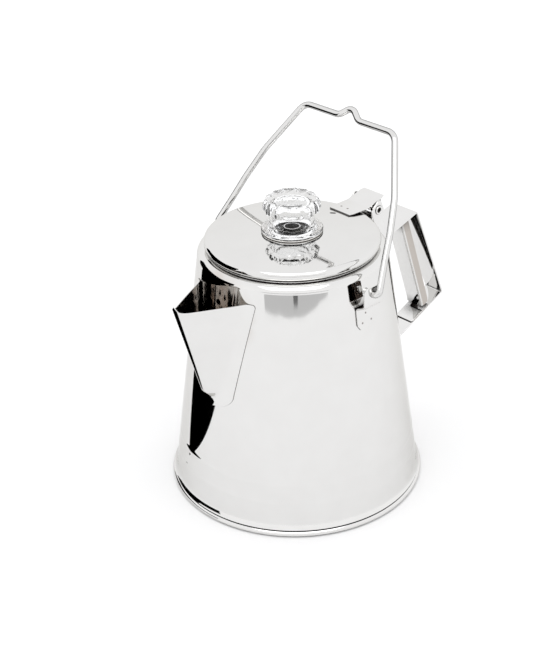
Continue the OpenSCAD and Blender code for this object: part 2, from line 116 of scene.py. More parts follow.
# ---------------------------------------------------------------- mesh tools

def arc(cx, cy, r, a0, a1, n):
    """n + 1 points of an arc, angles in degrees."""
    steps = [math.radians(a0 + (a1 - a0) * i / n) for i in range(n + 1)]
    return [(cx + r * math.cos(a), cy + r * math.sin(a)) for a in steps]


def spread(a, b, n):
    """n + 1 points along a straight line."""
    return [tuple(p + (q - p) * i / n for p, q in zip(a, b)) for i in range(n + 1)]


def rounded(points, n=6):
    """A path through (x, y, bend radius) points, with an arc of n steps at each bend."""
    path = []
    for i, (x, y, r) in enumerate(points):
        here = Vector((x, y))
        if r == 0 or i in (0, len(points) - 1):
            path.append((x, y))
            continue
        back = (Vector(points[i - 1][:2]) - here).normalized()
        ahead = (Vector(points[i + 1][:2]) - here).normalized()
        half = back.angle(ahead) / 2
        reach = r / math.tan(half)
        centre = here + (back + ahead).normalized() * (r / math.sin(half))
        start = here + back * reach - centre
        end = here + ahead * reach - centre
        for k in range(n + 1):
            turned = start.lerp(end, k / n).normalized() * r
            path.append(tuple(centre + turned))
    return path


def dense(path, step):
    """The same path with extra points, so that none are further apart than step."""
    out = [path[0]]
    for a, b in zip(path, path[1:]):
        n = max(1, math.ceil(math.dist(a, b) / step))
        out += spread(a, b, n)[1:]
    return out


def new_piece(name, verts, faces, sharp=SHARP):
    """A mesh object from points in millimetres, shaded smooth except across sharp edges."""
    mesh = bpy.data.meshes.new(name)
    mesh.from_pydata([Vector(v) * MM for v in verts], [], faces)
    piece = bpy.data.objects.new(name, mesh)
    bpy.context.scene.collection.objects.link(piece)
    tidy(piece, sharp)
    return piece


def tidy(piece, sharp=SHARP):
    """Merges doubled points, turns every face outwards and marks the sharp edges."""
    work = bmesh.new()
    work.from_mesh(piece.data)
    bmesh.ops.remove_doubles(work, verts=work.verts, dist=1e-6)
    bmesh.ops.recalc_face_normals(work, faces=work.faces)
    work.to_mesh(piece.data)
    work.free()
    shade(piece.data, sharp)


def shade(mesh, sharp=SHARP):
    """Shades a mesh smooth, except across edges sharper than an angle in degrees."""
    for face in mesh.polygons:
        face.use_smooth = True
    mesh.set_sharp_from_angle(angle=math.radians(sharp))


def lathe(name, outline, steps=ROUND, sharp=SHARP, wave=None):
    """Revolves a closed (radius, height) outline about Z. wave(angle, r, z) may change the radius."""
    verts, rings = [], []
    for r, z in outline:
        if r < 1e-6:
            rings.append([len(verts)] * steps)
            verts.append((0, 0, z))
            continue
        rings.append(list(range(len(verts), len(verts) + steps)))
        for k in range(steps):
            a = 2 * math.pi * k / steps
            w = wave(a, r, z) if wave else r
            verts.append((w * math.cos(a), w * math.sin(a), z))
    faces = []
    for a, b in zip(rings, rings[1:] + rings[:1]):
        for k in range(steps):
            n = (k + 1) % steps
            corners = [a[k], a[n], b[n], b[k]]
            face = [c for i, c in enumerate(corners) if c != corners[i - 1]]
            if len(face) > 2:
                faces.append(face)
    return new_piece(name, verts, faces, sharp)


def loft(name, rings, sharp=SHARP):
    """Joins equal closed rings of points into a tube and closes both ends."""
    size = len(rings[0])
    verts = [p for ring in rings for p in ring]
    faces = [
        [i * size + k, i * size + (k + 1) % size, (i + 1) * size + (k + 1) % size, (i + 1) * size + k]
        for i in range(len(rings) - 1)
        for k in range(size)
    ]
    faces.append(list(range(size))[::-1])
    faces.append([(len(rings) - 1) * size + k for k in range(size)])
    return new_piece(name, verts, faces, sharp)


def headings(path):
    """The unit direction of a 2D path at each of its points."""
    out = []
    for i in range(len(path)):
        a = Vector(path[max(i - 1, 0)])
        b = Vector(path[min(i + 1, len(path) - 1)])
        out.append((b - a).normalized())
    return out


def sheet_section(width, thick, corner=0.3, n=3):
    """A rounded rectangle, as (across, through) points."""
    w, t = width / 2 - corner, thick / 2 - corner
    return (
        arc(w, t, corner, 0, 90, n) + arc(-w, t, corner, 90, 180, n)
        + arc(-w, -t, corner, 180, 270, n) + arc(w, -t, corner, 270, 360, n)
    )


def distances(path):
    """How far along a path each of its points is."""
    lengths = [0]
    for a, b in zip(path, path[1:]):
        lengths.append(lengths[-1] + math.dist(a, b))
    return lengths


def bent_strip(name, path, width, thick, place, lean=None):
    """A strip of sheet that follows a 2D path. width(s, total) gives its width at a distance s along
    the path; place(u, across, z) turns the flat place into a point; lean(across, u, z) moves a point
    along u."""
    path = dense(path, 4)
    turns = headings(path)
    lengths = distances(path)
    rings = []
    for (u, z), d, s in zip(path, turns, lengths):
        ring = []
        for across, through in sheet_section(width(s, lengths[-1]), thick):
            pu, pz = u - d.y * through, z + d.x * through
            if lean:
                pu += lean(across, pu, pz)
            ring.append(place(pu, across, pz))
        rings.append(ring)
    return loft(name, rings)


def round_ended(width, corner):
    """A width that is rounded off at both ends of a strip."""
    least = 0.02             # keeps the square root above zero at the very end

    def at(s, total):
        near = min(s, total - s)
        if near >= corner:
            return width
        return width - 2 * corner + 2 * math.sqrt(max(corner ** 2 - (corner - near) ** 2, least))

    return at


def plate(name, outline, low, high, place, bevel=0.25):
    """A flat outline of (u, z) points given a thickness, from low to high across it, its edges softened."""
    n = len(outline)
    verts = [place(u, low, z) for u, z in outline] + [place(u, high, z) for u, z in outline]
    faces = [list(range(n)), list(range(n, 2 * n))]
    faces += [[k, (k + 1) % n, n + (k + 1) % n, n + k] for k in range(n)]
    piece = new_piece(name, verts, faces)
    work = bmesh.new()
    work.from_mesh(piece.data)
    rims = [e for e in work.edges if len(e.link_faces) == 2 and e.calc_face_angle() > math.radians(50)]
    bmesh.ops.bevel(work, geom=rims, offset=bevel * MM, segments=2, affect="EDGES", clamp_overlap=True)
    work.to_mesh(piece.data)
    work.free()
    tidy(piece)
    return piece


def tube(name, path, radius, place, sides, grow):
    """A round wire along a 2D path. grow(s, total) gives how much it swells at a distance s."""
    turns = headings(path)
    lengths = distances(path)
    rings = []
    for (u, z), d, s in zip(path, turns, lengths):
        r = radius * grow(s, lengths[-1])
        ring = []
        for k in range(sides):
            a = 2 * math.pi * k / sides
            ring.append(place(u - d.y * r * math.cos(a), r * math.sin(a), z + d.x * r * math.cos(a)))
        rings.append(ring)
    return loft(name, rings, sharp=50)


def settle(piece):
    """Applies a piece's modifiers to its mesh."""
    seen = piece.evaluated_get(bpy.context.evaluated_depsgraph_get())
    mesh = bpy.data.meshes.new_from_object(seen)
    piece.modifiers.clear()
    piece.data = mesh


def cut(piece, cutter):
    """Takes the cutter's shape out of the piece and throws the cutter away."""
    tool = piece.modifiers.new("cut", "BOOLEAN")
    tool.operation = "DIFFERENCE"
    tool.solver = "EXACT"
    tool.object = cutter
    bpy.context.view_layer.update()
    settle(piece)
    bpy.data.objects.remove(cutter)
    tidy(piece)


def join(name, parts):
    """Puts several meshes into one piece."""
    work = bmesh.new()
    for part in parts:
        work.from_mesh(part.data)
        bpy.data.objects.remove(part)
    mesh = bpy.data.meshes.new(name)
    work.to_mesh(mesh)
    work.free()
    piece = bpy.data.objects.new(name, mesh)
    bpy.context.scene.collection.objects.link(piece)
    shade(mesh)
    return piece


def in_xz(u, across, z):
    """A flat place in the plane of the spout and the handle."""
    return (u, across, z)


# ---------------------------------------------------------------- materials

# The numbers below are shares, or Blender's own units: metres for a bump's height.

# painted black: painted shade at the collar, round rivets and in the spout, and also the lid's weld dash
SHADE_AND_MARK_BLACK = (0.008, 0.007, 0.006, 1)
# painted shade for gaps and inside corners
CREVICE_SHADE = (0.012, 0.009, 0.008, 1)
WELD_MARK = (0.16, 0.13, 0.12, 1)
HEAT_TINT = (0.42, 0.33, 0.27, 1)
# painted shade for the inner faces of the bail ears
EAR_INNER_SHADE = (0.05, 0.038, 0.032, 1)
# painted reflection for the side faces of the grip
GRIP_REFLECTION = (0.5, 0.465, 0.43, 1)


def node_tree(name):
    """A new material, its nodes and its shader."""
    mat = bpy.data.materials.new(name)
    mat.use_nodes = True
    tree = mat.node_tree
    shader = tree.nodes["Principled BSDF"]
    return mat, tree, shader


def add(tree, kind, **settings):
    """A new node, with its inputs or properties set by name."""
    made = tree.nodes.new(kind)
    for key, value in settings.items():
        if key in made.inputs:
            made.inputs[key].default_value = value
        else:
            setattr(made, key, value)
    return made


def noise(tree, scale, stretch=(1, 1, 1), detail=4):
    """Noise in the object's own metres, stretched along its axes."""
    place = add(tree, "ShaderNodeTexCoord")
    mapping = add(tree, "ShaderNodeMapping")
    mapping.inputs["Scale"].default_value = stretch
    made = add(tree, "ShaderNodeTexNoise")
    made.inputs["Scale"].default_value = scale
    made.inputs["Detail"].default_value = detail
    tree.links.new(place.outputs["Object"], mapping.inputs["Vector"])
    tree.links.new(mapping.outputs["Vector"], made.inputs["Vector"])
    return made.outputs["Fac"]


def span(tree, value, low, high, new_low, new_high):
    """Maps a value from one range to another."""
    made = add(tree, "ShaderNodeMapRange")
    for key, number in zip(("From Min", "From Max", "To Min", "To Max"), (low, high, new_low, new_high)):
        made.inputs[key].default_value = number
    tree.links.new(value, made.inputs["Value"])
    return made.outputs["Result"]


def combine(tree, operation, a, b):
    """A sum, product or the like of two values, each a number or a socket."""
    made = add(tree, "ShaderNodeMath", operation=operation)
    for socket, value in zip(made.inputs, (a, b)):
        if isinstance(value, (int, float)):
            socket.default_value = value
        else:
            tree.links.new(value, socket)
    return made.outputs["Value"]


def colour_mix(tree, factor, a, b):
    """Colour a where the factor is 0 and b where it is 1, each a colour or a socket."""
    made = add(tree, "ShaderNodeMix", data_type="RGBA")
    tree.links.new(factor, made.inputs["Factor"])
    for socket, value in ((made.inputs[6], a), (made.inputs[7], b)):
        if isinstance(value, tuple):
            socket.default_value = value
        else:
            tree.links.new(value, socket)
    return made.outputs[2]


def bump(tree, shader, height, distance, after=None):
    """Raises the surface by up to a distance in metres, on top of the bump it comes after."""
    made = add(tree, "ShaderNodeBump")
    made.inputs["Strength"].default_value = 1
    made.inputs["Distance"].default_value = distance
    tree.links.new(height, made.inputs["Height"])
    if after:
        tree.links.new(after, made.inputs["Normal"])
    tree.links.new(made.outputs["Normal"], shader.inputs["Normal"])
    return made.outputs["Normal"]


def spots(tree, places, radius):
    """1 at the middle of each place (in millimetres), falling to 0 at the radius."""
    where = add(tree, "ShaderNodeTexCoord").outputs["Object"]
    total = None
    for place in places:
        apart = add(tree, "ShaderNodeVectorMath", operation="DISTANCE")
        tree.links.new(where, apart.inputs[0])
        apart.inputs[1].default_value = [v * MM for v in place]
        near = span(tree, apart.outputs["Value"], 0, radius * MM, 1, 0)
        total = near if total is None else combine(tree, "MAXIMUM", total, near)
    return total


def paint_crevice_shade(tree, colour, reach, full=0.3, clear=0.72):
    """Paints shade into a colour: darker in narrow gaps and inside corners, up to reach millimetres from
    them, by ambient occlusion. full and clear are the openness at which the painted shade is full and gone."""
    shade = add(tree, "ShaderNodeAmbientOcclusion", samples=8)
    shade.inputs["Distance"].default_value = reach * MM
    return colour_mix(tree, span(tree, shade.outputs["AO"], full, clear, 0, 1), CREVICE_SHADE, colour)


def paint_facing_side(tree, colour, way, start, dark):
    """Paints light into the faces that point a way (a 3D direction): a colour of painted shade or painted
    reflection. start is how closely, from 0 to 1.
    """
    soft = 0.12
    face = add(tree, "ShaderNodeNewGeometry")
    dot = add(tree, "ShaderNodeVectorMath", operation="DOT_PRODUCT")
    tree.links.new(face.outputs["Normal"], dot.inputs[0])
    dot.inputs[1].default_value = way
    return colour_mix(tree, span(tree, dot.outputs["Value"], start, start + soft, 0, 1), colour, dark)


def paint_shade_above(tree, colour, start):
    """Paints shade: blackens everything above a height in millimetres."""
    soft = 0.3
    apart = add(tree, "ShaderNodeSeparateXYZ")
    tree.links.new(add(tree, "ShaderNodeTexCoord").outputs["Object"], apart.inputs["Vector"])
    black = span(tree, apart.outputs["Z"], start * MM, (start + soft) * MM, 0, 1)
    return colour_mix(tree, black, colour, SHADE_AND_MARK_BLACK)


def steel(name, tone=0.765, rough=(0.015, 0.05), grain=(1, 1, 1), welds=(), tint=None,
          reach=1.6, shade_span=(0.3, 0.72), edge=0.82, painted_side=None, shade_above=None, shade_and_mark_spots=None):
    """Polished sheet steel: a mirror with faint smears, fine polishing lines and a slightly uneven face.
    tone is how bright it is, rough its least and greatest roughness and grain how its lines are
    stretched; edge is the tone of its reflections at a glancing angle. welds are spot-weld marks; tint
    is (place, radius) of a patch of heat tint, in millimetres. reach is how far painted shade spreads
    from gaps and inside corners, and shade_span is the openness where it is full and gone; painted_side
    is (direction, start, colour) of faces that point a way, coloured with painted shade on the bail ears
    and a painted reflection on the grip; shade_above is the height above which the sheet is painted
    black as shade; shade_and_mark_spots is (places, radius) of black spots, which paint shade round
    rivets and in the spout and also make the lid's dark weld dash."""
    mat, tree, shader = node_tree(name)
    shader.inputs["Metallic"].default_value = 1
    shader.inputs["Specular Tint"].default_value = (edge, edge * 0.994, edge * 0.976, 1)
    smears = noise(tree, 55, detail=6)
    lines = noise(tree, 900, grain, 3)
    cloud = noise(tree, 18, detail=2)
    colour = colour_mix(
        tree, span(tree, smears, 0.3, 0.7, 0, 1),
        (tone, tone * 0.995, tone * 0.982, 1), (tone * 0.975, tone * 0.968, tone * 0.955, 1),
    )
    dull = span(tree, smears, 0.35, 0.7, *rough)
    scratched = span(tree, lines, 0.45, 0.75, 0, 0.03)
    face = bump(tree, shader, cloud, 0.00001)
    fine = bump(tree, shader, lines, 0.0000006, after=face)
    if welds:
        marks = spots(tree, welds, 1.1)
        colour = colour_mix(tree, span(tree, marks, 0.05, 0.6, 0, 1), colour, WELD_MARK)
        bump(tree, shader, marks, -0.0003, after=fine)
    if tint:
        mottle = span(tree, noise(tree, 70), 0.35, 0.65, 0.2, 1.4)
        patch = combine(tree, "MULTIPLY", spots(tree, [tint[0]], tint[1]), mottle)
        colour = colour_mix(tree, patch, colour, HEAT_TINT)
    # faces that point a way get a colour of painted shade (the ears) or painted reflection (the grip)
    if painted_side:
        colour = paint_facing_side(tree, colour, *painted_side)
    # painted shade: the sheet is painted black above a height
    if shade_above:
        colour = paint_shade_above(tree, colour, shade_above)
    # black spots: painted shade, and on the lid a dark weld mark
    if shade_and_mark_spots:
        colour = colour_mix(tree, span(tree, spots(tree, *shade_and_mark_spots), 0.1, 0.35, 0, 1), colour, SHADE_AND_MARK_BLACK)
    # painted shade: the colour darkens in gaps and inside corners, by ambient occlusion
    colour = paint_crevice_shade(tree, colour, reach, full=shade_span[0], clear=shade_span[1])
    tree.links.new(colour, shader.inputs["Base Color"])
    tree.links.new(combine(tree, "ADD", dull, scratched), shader.inputs["Roughness"])
    return mat


def satin(name, tone=0.62):
    """Plain drawn steel inside the pot: brushed, with water marks."""
    mat, tree, shader = node_tree(name)
    shader.inputs["Metallic"].default_value = 1
    lines = noise(tree, 260, (1, 1, 9), 4)
    marks = noise(tree, 40, detail=5)
    clean = (tone, tone, tone * 1.01, 1)
    marked = (tone * 0.86, tone * 0.83, tone * 0.8, 1)
    colour = colour_mix(tree, span(tree, marks, 0.4, 0.7, 0, 1), clean, marked)
    brushed = span(tree, lines, 0.3, 0.7, 0.22, 0.36)
    dull = span(tree, marks, 0.5, 0.8, 0, 0.12)
    bump(tree, shader, lines, 0.00001)
    # painted shade: darker in corners and between parts, by ambient occlusion
    colour = paint_crevice_shade(tree, colour, 9, clear=0.9)
    tree.links.new(colour, shader.inputs["Base Color"])
    tree.links.new(combine(tree, "ADD", brushed, dull), shader.inputs["Roughness"])
    return mat


def clear_plastic(name):
    """Clear moulded plastic with fine handling marks."""
    mat, tree, shader = node_tree(name)
    shader.inputs["Transmission Weight"].default_value = 1
    shader.inputs["IOR"].default_value = 1.3
    marks = noise(tree, 180, detail=6)
    ripple = noise(tree, 45, detail=1)
    colour = colour_mix(
        tree, span(tree, ripple, 0.3, 0.7, 0, 1), (0.995, 0.996, 0.998, 1), (0.965, 0.97, 0.975, 1)
    )
    bump(tree, shader, ripple, 0.00004)
    tree.links.new(colour, shader.inputs["Base Color"])
    tree.links.new(span(tree, marks, 0.4, 0.75, 0.0, 0.05), shader.inputs["Roughness"])
    return mat


def rubber(name):
    """Pale silicone rubber with a fine matt grain."""
    mat, tree, shader = node_tree(name)
    grain = noise(tree, 1500, detail=2)
    colour = colour_mix(tree, grain, (0.78, 0.76, 0.73, 1), (0.86, 0.84, 0.81, 1))
    bump(tree, shader, grain, 0.00002)
    tree.links.new(colour, shader.inputs["Base Color"])
    tree.links.new(span(tree, grain, 0.3, 0.7, 0.5, 0.7), shader.inputs["Roughness"])
    return mat


def give(piece, mat):
    """Puts one material on a piece."""
    piece.data.materials.clear()
    piece.data.materials.append(mat)


def place_piece(piece, mat, body, slot, *nodes):
    """The piece's material, the body it moves with and the nodes it stands for; slot, its material slot, is
    not used.
    """
    give(piece, mat)
    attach(piece, body)
    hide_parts(*nodes)


# ---------------------------------------------------------------- pot

BEADS = (24.6, 38.8)         # heights of the two stiffening beads
BEAD_HALF = 2.6
BEAD_H = 0.21
FLARE = 1.2                  # how far the wall has curved out at FLARE_H below FLARE_Z
FLARE_H = 4
FLARE_Z = 9.5
PLAIN_Z = 44                 # from here up the wall is a plain cone
FINE_STEP = 0.4              # between the wall's points below PLAIN_Z
COARSE_STEP = 4              # and above it


def bead(z):
    """How far a stiffening bead stands out at a height."""
    out = 0
    for middle in BEADS:
        away = abs(z - middle)
        if away < BEAD_HALF:
            out += BEAD_H * (0.5 + 0.5 * math.cos(math.pi * away / BEAD_HALF))
    return out


STRAINER_TOP = 165.8
STRAINER_ROWS = 6
STRAINER_STEP = 10
STRAINER_PITCH = 11.6
STRAINER_R = 2.2
STRAINER_SPREAD = 0.23       # how fast the field of holes widens above the spout's foot


def strainer_holes():
    """The drills for the rows of holes behind the spout, as one mesh."""
    drills = []
    for row in range(STRAINER_ROWS):
        z = STRAINER_TOP - row * STRAINER_STEP
        for k in (-1, 0, 1):
            y = (k + (row % 2) / 2) * STRAINER_PITCH
            if abs(y) < (z - FLANGE_LOW) * STRAINER_SPREAD:
                ring = arc(y, z, STRAINER_R, 0, 345, 23)
                drills.append(loft("drill", [[(x, u, v) for u, v in ring] for x in (-60, -90)]))
    return join("drills", drills)


def pot_body():
    """The wall with its foot and beads, the shoulder and the collar, as one turned sheet."""
    fine = [CONE_LOW_Z + FINE_STEP * i for i in range(int((PLAIN_Z - CONE_LOW_Z) / FINE_STEP))]
    skin = [(cone_r(z) + bead(z) + FLARE * max(0, (FLARE_Z - z) / FLARE_H) ** 2, z) for z in fine]
    skin += [(cone_r(z), z) for z in range(PLAIN_Z, math.ceil(SHOULDER_Z), COARSE_STEP)]
    skin += arc(cone_r(SHOULDER_Z) - SHOULDER_BEND, SHOULDER_Z, SHOULDER_BEND, 0, 90, 14)
    fillet = 0.7
    skin += arc(COLLAR_R + fillet, SHOULDER_TOP + fillet, fillet, 270, 180, 4)
    inner = [(r - WALL, z) for r, z in skin[::-1] if z < SHOULDER_Z]
    dome = arc(cone_r(SHOULDER_Z) - SHOULDER_BEND, SHOULDER_Z, SHOULDER_BEND - WALL, 90, 0, 10)
    lip = arc(COLLAR_R - WALL / 2, COLLAR_TOP - WALL / 2, WALL / 2, 0, 180, 6)
    piece = lathe("pot_body", skin + lip + [(COLLAR_R - WALL, SHOULDER_TOP - WALL)] + dome + inner)
    cut(piece, strainer_holes())
    # painted shade: black spots on the pot's wall inside the spout's pocket
    spout_shade_spots = [(-69.6, 12, 156), (-69, 12.5, 163), (-67.8, 13, 170)]
    # painted shade: the collar above the shoulder is painted black, in the gap under the lid
    tinted = steel(
        "pot_steel", grain=(1, 1, 14), tint=((-72, 0, 158), 34), reach=2.2, shade_span=(0.36, 0.7),
        shade_above=SHOULDER_TOP + 0.4, shade_and_mark_spots=(spout_shade_spots, 7.5),
    )
    place_piece(piece, tinted, "pot", "polished_steel", "body_shell")


def pot_base():
    """The pressed base: its rolled rim stands outside the wall and its lip inside."""
    bead_r = 2.2
    floor_t = 0.9
    lip_half = 0.45
    bend = 2
    rim_c = PAN_R - bead_r
    lip_r = cone_r(PAN_TOP) - WALL - 0.4
    outline = [(0, 0)] + spread((20, 0), (rim_c - 1.1, 0), 6)
    outline += arc(rim_c, bead_r - 0.25, bead_r, -60, 205, 20)
    outline += [(lip_r + 0.2, 1.6), (lip_r, 2.4), (lip_r, PAN_TOP - 0.4)]
    outline += arc(lip_r - lip_half, PAN_TOP - lip_half, lip_half, 0, 180, 5)
    outline += arc(lip_r - 2 * lip_half - bend, floor_t + bend, bend, 0, -90, 5)
    outline += [(20, floor_t), (0, floor_t)]
    place_piece(lathe("pot_base", outline), steel("base_steel"), "pot", "polished_steel", "base_pan")


# The spout is worked out as a height above the pot's cone: a ridge along y = 0 whose sides fall
# straight to the cone, with a soft fold, a soft foot and a flange that lies on the pot.

TIP_Z = 177.0
FOLD_SLOPE = 0.284           # how fast the fold leans in, going down
CHIN_Z = 103                 # below this the fold turns in to the pot
CHIN_CURVE = 0.1
SPOUT_SIDE = 1.53            # how steeply the sides fall from the fold at the chin
SIDE_GAIN = 0.22             # and how much steeper they are at the tip
NOSE_HALF = (2.6, 3.5)       # half width of the fold's flat nose, at the chin and at the tip
NOSE_SOFT = 0.6
FOOT_SOFT = 1.6
FLANGE_LOW = 88.0
FLANGE_TOP = 171.6
FLANGE_HALF_W = 19.6         # at FLANGE_TURN, where the rounded foot ends
FLANGE_TURN = 101
FLANGE_SPREAD = 0.155        # how fast the flange widens above that
FLANGE_CORNER = 3
RIM_BACK_X = -65.5           # the spout's upper edge runs from here, RIM_HALF from the middle,
RIM_HALF = 24
RIM_REACH = 41.8             # to its tip, this much further out
RIM_Z = 171.2
RIM_LIFT_X = -95             # from here on the edge rises to the tip
RIM_LIFT_LENGTH = 13.3
SHEET = 0.65


def fold_reach(z):
    """How far the fold stands out from the pot's flange face."""
    out = -TIP_X - FOLD_SLOPE * (TIP_Z - z) - cone_r(z) - SHEET
    if z < CHIN_Z:
        out -= CHIN_CURVE * (CHIN_Z - z) ** 2
    return out


def spout_side(y, z):
    """How far the spout's side stands out from the pot's flange face at a distance from the fold."""
    share = min(max((z - CHIN_Z) / (TIP_Z - CHIN_Z), 0), 1)
    past = abs(y) - NOSE_HALF[0] - (NOSE_HALF[1] - NOSE_HALF[0]) * share
    line = fold_reach(z) - (SPOUT_SIDE + SIDE_GAIN * share) * (past + math.hypot(past, NOSE_SOFT)) / 2
    return (line + math.hypot(line, FOOT_SOFT)) / 2


def flange_edge(z):
    """Distance of the flange's outer edge from the middle at a height."""
    if z < FLANGE_TURN:
        return FLANGE_HALF_W * max(1 - ((FLANGE_TURN - z) / (FLANGE_TURN - FLANGE_LOW)) ** 2, 0) ** 0.6
    wide = FLANGE_HALF_W + (z - FLANGE_TURN) * FLANGE_SPREAD
    drop = z - (FLANGE_TOP - FLANGE_CORNER)
    if drop > 0:
        wide -= FLANGE_CORNER - math.sqrt(max(FLANGE_CORNER ** 2 - drop ** 2, 0))
    return wide


def spout_rim(y):
    """Height of the spout's upper edge at a distance from the middle."""
    x = RIM_BACK_X - (RIM_HALF - min(y, RIM_HALF)) * RIM_REACH / RIM_HALF
    lift = max(0, (RIM_LIFT_X - x) / RIM_LIFT_LENGTH)
    return RIM_Z + (TIP_Z - RIM_Z) * lift ** 1.7


def pot_spout():
    """The folded sheet of the spout, as a grid from flange edge to flange edge, given a thickness."""
    columns, rows = 90, 96
    grid = []
    for c in range(-columns, columns + 1):
        share = (abs(c) / columns) ** 1.15
        column = []
        for r in range(rows + 1):
            y_top = share * flange_edge(FLANGE_TOP - 3.6)
            top = spout_rim(y_top) if y_top < RIM_HALF + 1 else FLANGE_TOP - 0.3
            z = FLANGE_LOW + (top - FLANGE_LOW) * (r / rows) ** 0.8
            y = share * flange_edge(z)
            base = cone_r(z) + SHEET
            x = -math.sqrt(base ** 2 - y ** 2) - spout_side(y, z)
            column.append((x, y if c > 0 else -y, z))
        grid.append(column)
    verts = [p for column in grid for p in column]
    size = rows + 1
    faces = [
        [c * size + r, (c + 1) * size + r, (c + 1) * size + r + 1, c * size + r + 1]
        for c in range(2 * columns)
        for r in range(rows)
    ]
    piece = new_piece("pot_spout", verts, faces, sharp=60)
    mesh = piece.data
    # an open sheet can come out facing the pot, and the thickness goes on its back
    if mesh.polygons[len(mesh.polygons) // 4].normal.x > 0:
        mesh.flip_normals()
    thick = piece.modifiers.new("sheet", "SOLIDIFY")
    thick.thickness = (SHEET - FIT) * MM
    thick.offset = -1
    thick.use_even_offset = True
    thick.use_quality_normals = True
    bpy.context.view_layer.update()
    settle(piece)
    tidy(piece, 45)
    place_piece(piece, steel("spout_steel", grain=(1, 1, 8)), "pot", "polished_steel", "spout")


# ---------------------------------------------------------------- hinge

def cone_pad(name, low_z, high_z, half_w, thick):
    """A sheet with rounded corners that lies on the pot's cone on the handle's side."""
    middle = (low_z + high_z) / 2
    edge = sheet_section(2 * half_w, high_z - low_z, 1.5, 5)
    edge = dense(edge + edge[:1], 1.5)[:-1]

    def ring(lift, share):
        points = []
        for across, up in edge:
            z = middle + up * share
            points.append((math.sqrt((cone_r(z) + lift) ** 2 - (across * share) ** 2), across * share, z))
        return points

    steps = 8
    soft = 0.25                  # the outer edge is rounded by this much
    face = 0.97                  # share of the sheet's size that is left flat inside it
    inside = [ring(FIT, i / steps) for i in range(1, steps + 1)]
    outside = [ring(FIT + thick - soft, 1), ring(FIT + thick, face)]
    outside += [ring(FIT + thick, face * i / steps) for i in range(steps - 1, 0, -1)]
    return loft(name, inside + outside)


def hinge_bracket():
    """Two ears that carry the rivet, the pad under them and the web between them."""
    half = BRACKET_HALF_W
    thick = 1.2
    outline = [(68.9, 168), (69.4, 184.5), (67.1, 192.2), (73.6, 198.2)]
    outline += arc(75.4, 196.4, 2.4, 110, 20, 6) + [(80.6, 190.5), (80.6, 172.4), (77, 168.6)]
    ears = [plate("ear", outline, side * (half - thick), side * half, in_xz) for side in (-1, 1)]
    pad = cone_pad("pad", 166.2, 177.7, half - 0.1, thick)
    web_outline = [(69.9, 170.2), (67.4, 191.4), (68.5, 191.5), (71, 170.2)]
    web = plate("web", web_outline, 0.3 - half, half - 0.3, in_xz, 0.2)
    piece = join("hinge_ears", ears + [pad, web])
    # painted shade: a black ring round each rivet head, and dark corners between the ears
    heads = [(HINGE_X, side * half, HINGE_Z) for side in (-1, 1)]
    mat = steel("bracket_steel", reach=3, shade_span=(0.05, 0.3), shade_and_mark_spots=(heads, 4.4))
    place_piece(piece, mat, "pot", "polished_steel", "hinge_bracket")


def hinge_rivet():
    """The tubular rivet: a lathe along Y, with a rolled head at each end."""
    end = PIN_END
    stem, bore, curl = 2.4, 1.8, 0.75
    outline = arc(bore + curl, end - curl, curl, 180, 0, 10) + [(stem, end - 0.95)]
    outline += [(r, -z) for r, z in outline[::-1]]
    piece = lathe("hinge_rivet", outline, 48)
    piece.data.transform(
        Matrix.Translation((HINGE_X * MM, 0, HINGE_Z * MM)) @ Matrix.Rotation(math.radians(90), 4, "X")
    )
    # painted shade: the rivet's bores painted black, and dark corners at its heads
    bores = [(HINGE_X, side * (end - 3.2), HINGE_Z) for side in (-1, 1)]
    mat = steel("rivet_steel", reach=2, shade_span=(0.5, 0.95), shade_and_mark_spots=(bores, 4.2))
    place_piece(piece, mat, "pot", "plain_steel", "hinge_pin")


def hinge_leaf():
    """The leaf on the lid, bent up into the thumb tab, with a lug on each side of the hinge."""
    thick = 0.9
    top = lid_z(leaf_low[0]) + FIT + thick / 2
    path = rounded([(leaf_low[0], top, 0), (66, top, 7), (leaf_high[0] - 0.3, leaf_high[2] - 0.45, 0)], 8)
    flat = bent_strip("leaf", path, round_ended(2 * leaf_high[1] - 0.3, 1.2), thick, in_xz)
    lug = [(68.2, top + 0.4), (69.4, 191)] + arc(HINGE_X, HINGE_Z, 4.6, 215, 325, 8)
    lug += [(79.2, 197.8), (74, 196.6), (69, top + 0.7)]
    lugs = [plate("lug", lug, side * 9.9, side * 10.75, in_xz, 0.2) for side in (-1, 1)]
    piece = join("lid_leaf", [flat] + lugs)
    marks = [(53.8, y, top + thick / 2) for y in (-1.3, 5)]
    # painted shade under and beside the leaf, spreading up to 12 mm from corners
    mat = steel("leaf_steel", tone=0.76, reach=12, shade_span=(0.42, 0.76), welds=marks)
    place_piece(piece, mat, "lid", "polished_steel", "hinge_leaf")


# ---------------------------------------------------------------- handle

STRAP_T = 1.3
STRAP_W = STRAP_HALF_W * 2
STRAP_LOW_W = GRIP_HALF_W * 2 - 0.3
UPPER_FOOT = (147.5, 161.6)  # the height where the foot ends on the pot, and where it bends away
LOWER_FOOT = (48, 62.4)
FOOT_BEND = 3
UPPER_BEND = (117, 176)
LOWER_BEND = (154.5, 93.3)
CORNER_BEND = 1.6


def onto_cone(across, u, z):
    """How far a strip must lean in to follow the pot's round side, fading out away from the pot."""
    whole_to, fade = 2, 6
    r = cone_r(z)
    away = u - r
    share = max(0, min(1, 1 - (away - whole_to) / fade))
    return -share * (r - math.sqrt(max(r ** 2 - across ** 2, 0)))


